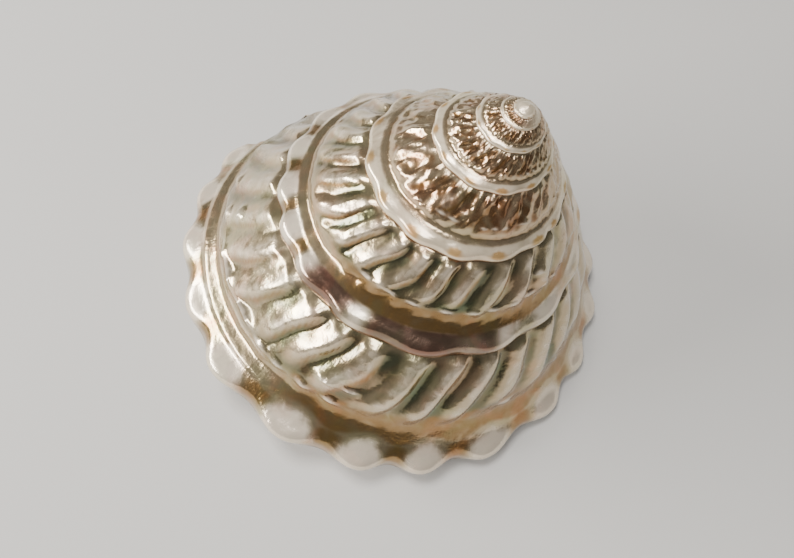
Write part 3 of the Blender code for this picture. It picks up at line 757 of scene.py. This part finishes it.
def mother_of_pearl(look):
    """Nacre that was stripped of its outer layer by acid and polished by hand.

    It is aragonite in thin layers, so the eye gets a soft metallic gleam that turns pink and green, under a
    clear sharp gloss. The olive, green and brown in the hollows and the tan in the channel are painted shade,
    and much of the white on the crests and knobs is painted highlight.
    """
    material = bpy.data.materials.new("polished_mother_of_pearl")
    material.use_nodes = True
    tree = material.node_tree
    tree.nodes.clear()
    body_at = add(tree, "TexCoord", output="Object")

    # Clouds of 9 mm, mottling of 2.5 mm and a grain of 0.6 mm. The real grain is near 0.1 mm and is drawn
    # coarser so that it shows.
    clouds = add(tree, "TexNoise", {"Vector": body_at, "Scale": 110.0, "Detail": 2.0, "Distortion": 0.4})
    mottle = add(tree, "TexNoise", {"Vector": body_at, "Scale": 400.0, "Detail": 3.0, "Distortion": 0.6})
    grain = add(tree, "TexNoise", {"Vector": body_at, "Scale": 1600.0, "Detail": 2.0})

    # Each tone lies where its share is written on the surface, with an edge that the mottling breaks up
    colour = tuple(look.champagne)
    white = 0.0
    # Of these tones, the hollows, the spire's hollows, the green, the tan and the suture line are painted
    # shade, and pearl and cream are in good part painted highlights
    for name, tone, strength in (
        ("gold", look.gold, 1.0),
        ("hollow", look.olive, 0.95),
        ("hollow_gold", look.bronze, 0.95),
        ("green", look.sea_green, 0.9),
        ("tan", look.tan, 0.9),
        ("pearl", look.pearl, 0.9),
        ("mauve", look.mauve, 0.9),
        ("cream", look.cream, 0.95),
        ("lens", look.honey, 0.9),
        ("suture_shade_and_rust", look.suture, 0.95),
    ):
        share = add(tree, "Attribute", output="Fac", attribute_name=name)
        edge = add(tree, "Math", {0: mottle, 1: 0.5}, operation="SUBTRACT")
        broken = add(tree, "Math", {0: edge, 1: 0.9, 2: share}, operation="MULTIPLY_ADD")
        limits = {0: broken, 1: 0.08, 2: 0.92, 3: 0.0, 4: strength}
        kept = add(tree, "MapRange", limits, interpolation_type="SMOOTHSTEP")
        gated = add(tree, "MapRange", {0: share, 1: 0.0, 2: 0.12, 3: 0.0, 4: 1.0})
        factor = add(tree, "Math", {0: kept, 1: gated}, operation="MULTIPLY")
        colour = add(tree, "Mix", {0: factor, 6: colour, 7: tone}, output=2, data_type="RGBA")
        if name in ("pearl", "cream"):
            white = add(tree, "Math", {0: white, 1: factor}, operation="MAXIMUM")

    # Faint pink and green clouds of about 7 mm, from the thickness of the layers
    for scale, tone, strength in ((150.0, look.pink, 0.32), (128.0, look.cool, 0.25)):
        cloud = add(tree, "TexNoise", {"Vector": body_at, "Scale": scale, "Detail": 1.0, "Distortion": 0.9})
        limits = {0: cloud, 1: 0.50, 2: 0.66, 3: 0.0, 4: strength}
        share = add(tree, "MapRange", limits, interpolation_type="SMOOTHSTEP")
        layers = {0: share, 6: colour, 7: tone}
        colour = add(tree, "Mix", layers, output=2, data_type="RGBA", blend_type="SOFT_LIGHT")

    # Growth lines, 0.6 mm apart on the last whorl
    whorl = add(tree, "UVMap", uv_map="whorl")
    turn = add(tree, "SeparateXYZ", {0: whorl})
    bent = add(tree, "Math", {0: turn, 1: 2600.0, 2: mottle}, operation="MULTIPLY_ADD")
    wobble = add(tree, "Math", {0: clouds, 1: 14.0, 2: bent}, operation="MULTIPLY_ADD")
    growth = add(tree, "Math", {0: wobble}, operation="SINE")

    dents = add(tree, "TexNoise", {"Vector": body_at, "Scale": 560.0, "Detail": 2.0, "Distortion": 0.3})
    height = add(tree, "Math", {0: grain, 1: 0.28, 2: dents}, operation="MULTIPLY_ADD")
    height = add(tree, "Math", {0: growth, 1: 0.02, 2: height}, operation="MULTIPLY_ADD")
    bump = add(tree, "Bump", {"Strength": 0.5, "Distance": 0.00014, "Height": height})
    rough = add(tree, "MapRange", {0: mottle, 1: 0.3, 2: 0.7, 3: 0.14, 4: 0.28})

    # The white tones, mostly painted highlights and the worn apex, are less metallic, and the darker tones,
    # painted shade among them, are more metallic
    metallic = add(tree, "MapRange", {0: white, 1: 0.0, 2: 1.0, 3: 0.88, 4: 0.45})

    shader = add(
        tree,
        "BsdfPrincipled",
        {
            "Base Color": colour,
            "Metallic": metallic,
            "Roughness": rough,
            "Coat Weight": 0.55,
            "Coat Roughness": 0.09,
            "Thin Film Thickness": 460.0,
            "Thin Film IOR": 1.42,
            "Normal": bump,
        },
    )
    add(tree, "OutputMaterial", {0: shader})
    return material


class TURBAN_OT_add_shell(bpy.types.Operator):
    """Add the polished turban shell in place of its CAD node"""

    bl_idname = "turban.add_shell"
    bl_label = "Turban shell"

    def execute(self, context):
        look = context.scene.turban_shell
        per_turn = look.rows_per_turn
        sheets = [whorl_band(columns, first, last, per_turn, look) for columns, first, last in BANDS]
        sheets.append(base_sheet(per_turn, look))
        sheets.append(hollow_sheet(look))
        bpy.ops.object.select_all(action="DESELECT")
        for piece in sheets:
            piece.select_set(True)
        shell = sheets[0]
        context.view_layer.objects.active = shell
        bpy.ops.object.join()
        shell.name = "turban_shell_nacre"
        shell.data.name = "turban_shell_nacre"
        bpy.ops.object.mode_set(mode="EDIT")
        bpy.ops.mesh.select_all(action="SELECT")
        bpy.ops.mesh.remove_doubles(threshold=JOIN_TOLERANCE)
        bpy.ops.mesh.normals_make_consistent(inside=False)
        bpy.ops.mesh.bisect(
            plane_co=(0.0, 0.0, 0.0),
            plane_no=(0.0, 0.0, -1.0),
            use_fill=True,
            clear_outer=True,
            threshold=JOIN_TOLERANCE,
        )
        bpy.ops.mesh.select_all(action="SELECT")
        bpy.ops.mesh.normals_make_consistent(inside=False)
        bpy.ops.object.mode_set(mode="OBJECT")
        bpy.ops.object.shade_smooth_by_angle(angle=math.radians(SMOOTH_ANGLE))
        shell.data.materials.clear()
        shell.data.materials.append(mother_of_pearl(look))
        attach(shell, "root")
        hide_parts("shell")
        return {"FINISHED"}


class TURBAN_OT_add_stage(bpy.types.Operator):
    """Add the pale floor, the soft lights and the camera"""

    bl_idname = "turban.add_stage"
    bl_label = "Stage"

    def execute(self, context):
        stage = context.scene.turban_stage
        bpy.ops.object.select_all(action="DESELECT")
        bpy.ops.mesh.primitive_circle_add(vertices=96, radius=stage.floor_width / 2.0, fill_type="NGON")
        floor = context.object
        floor.name = "stage_floor"
        paint = bpy.data.materials.new("matt_painted_board")
        paint.use_nodes = True
        tree = paint.node_tree
        shader = tree.nodes["Principled BSDF"]
        shader.inputs["Base Color"].default_value = (*stage.floor, 1.0)
        shader.inputs["Roughness"].default_value = 0.85
        floor.data.materials.append(paint)

        lights = (
            ("window_softbox", (-0.72, -0.01, 0.28), (0.70, 0.11), stage.key_power * 6.2, (1.0, 0.985, 0.96)),
            ("top_softbox", (-0.16, 0.10, 0.79), (0.28, 0.26), stage.key_power * 3.8, (1.0, 0.99, 0.98)),
            ("fill_softbox", (-0.12, -0.30, 0.78), (0.30, 0.24), stage.fill_power * 6.0, (0.98, 0.99, 1.0)),
        )
        for name, spot, size, power, tint in lights:
            lamp = bpy.data.lights.new(name, "AREA")
            lamp.shape = "RECTANGLE"
            lamp.size, lamp.size_y = size
            lamp.energy = power
            lamp.color = tint
            holder = bpy.data.objects.new(name, lamp)
            holder.location = spot
            facing = Vector(LIGHTS_AIM) - Vector(spot)
            holder.rotation_euler = facing.to_track_quat("-Z", "Y").to_euler()
            context.scene.collection.objects.link(holder)

        world = bpy.data.worlds.new("studio_room")
        world.use_nodes = True
        sky = world.node_tree.nodes["Background"]
        sky.inputs[0].default_value = (0.93, 0.96, 1.0, 1.0)
        sky.inputs[1].default_value = stage.sky
        context.scene.world = world

        lens = bpy.data.cameras.new("photo_camera")
        lens.lens = stage.lens
        lens.sensor_width = SENSOR_WIDTH
        lens.clip_start = 0.005
        camera = bpy.data.objects.new("photo_camera", lens)
        camera.location = [value * MM for value in CAMERA_AT]
        camera.rotation_euler = Euler([math.radians(value) for value in CAMERA_TURN], "XYZ")
        context.scene.collection.objects.link(camera)
        context.scene.camera = camera
        return {"FINISHED"}


class TURBAN_PT_pieces(bpy.types.Panel):
    """Lists what the shell's scene is made of"""

    bl_label = "Turban shell"
    bl_idname = "TURBAN_PT_pieces"
    bl_space_type = "VIEW_3D"
    bl_region_type = "UI"
    bl_category = "Shell"

    def draw(self, context):
        layout = self.layout
        for settings, operator in ((context.scene.turban_shell, "turban.add_shell"),
                                   (context.scene.turban_stage, "turban.add_stage")):
            box = layout.box()
            for name in settings.__annotations__:
                box.prop(settings, name)
            box.operator(operator)


CLASSES = (
    TurbanShellSettings,
    TurbanStageSettings,
    TURBAN_OT_add_shell,
    TURBAN_OT_add_stage,
    TURBAN_PT_pieces,
)


def register():
    for kind in CLASSES:
        bpy.utils.register_class(kind)
    bpy.types.Scene.turban_shell = PointerProperty(type=TurbanShellSettings)
    bpy.types.Scene.turban_stage = PointerProperty(type=TurbanStageSettings)


def unregister():
    del bpy.types.Scene.turban_stage
    del bpy.types.Scene.turban_shell
    for kind in reversed(CLASSES):
        bpy.utils.unregister_class(kind)


def main():
    register()
    bpy.ops.turban.add_shell()
    bpy.ops.turban.add_stage()


if __name__ == "__main__":
    main()
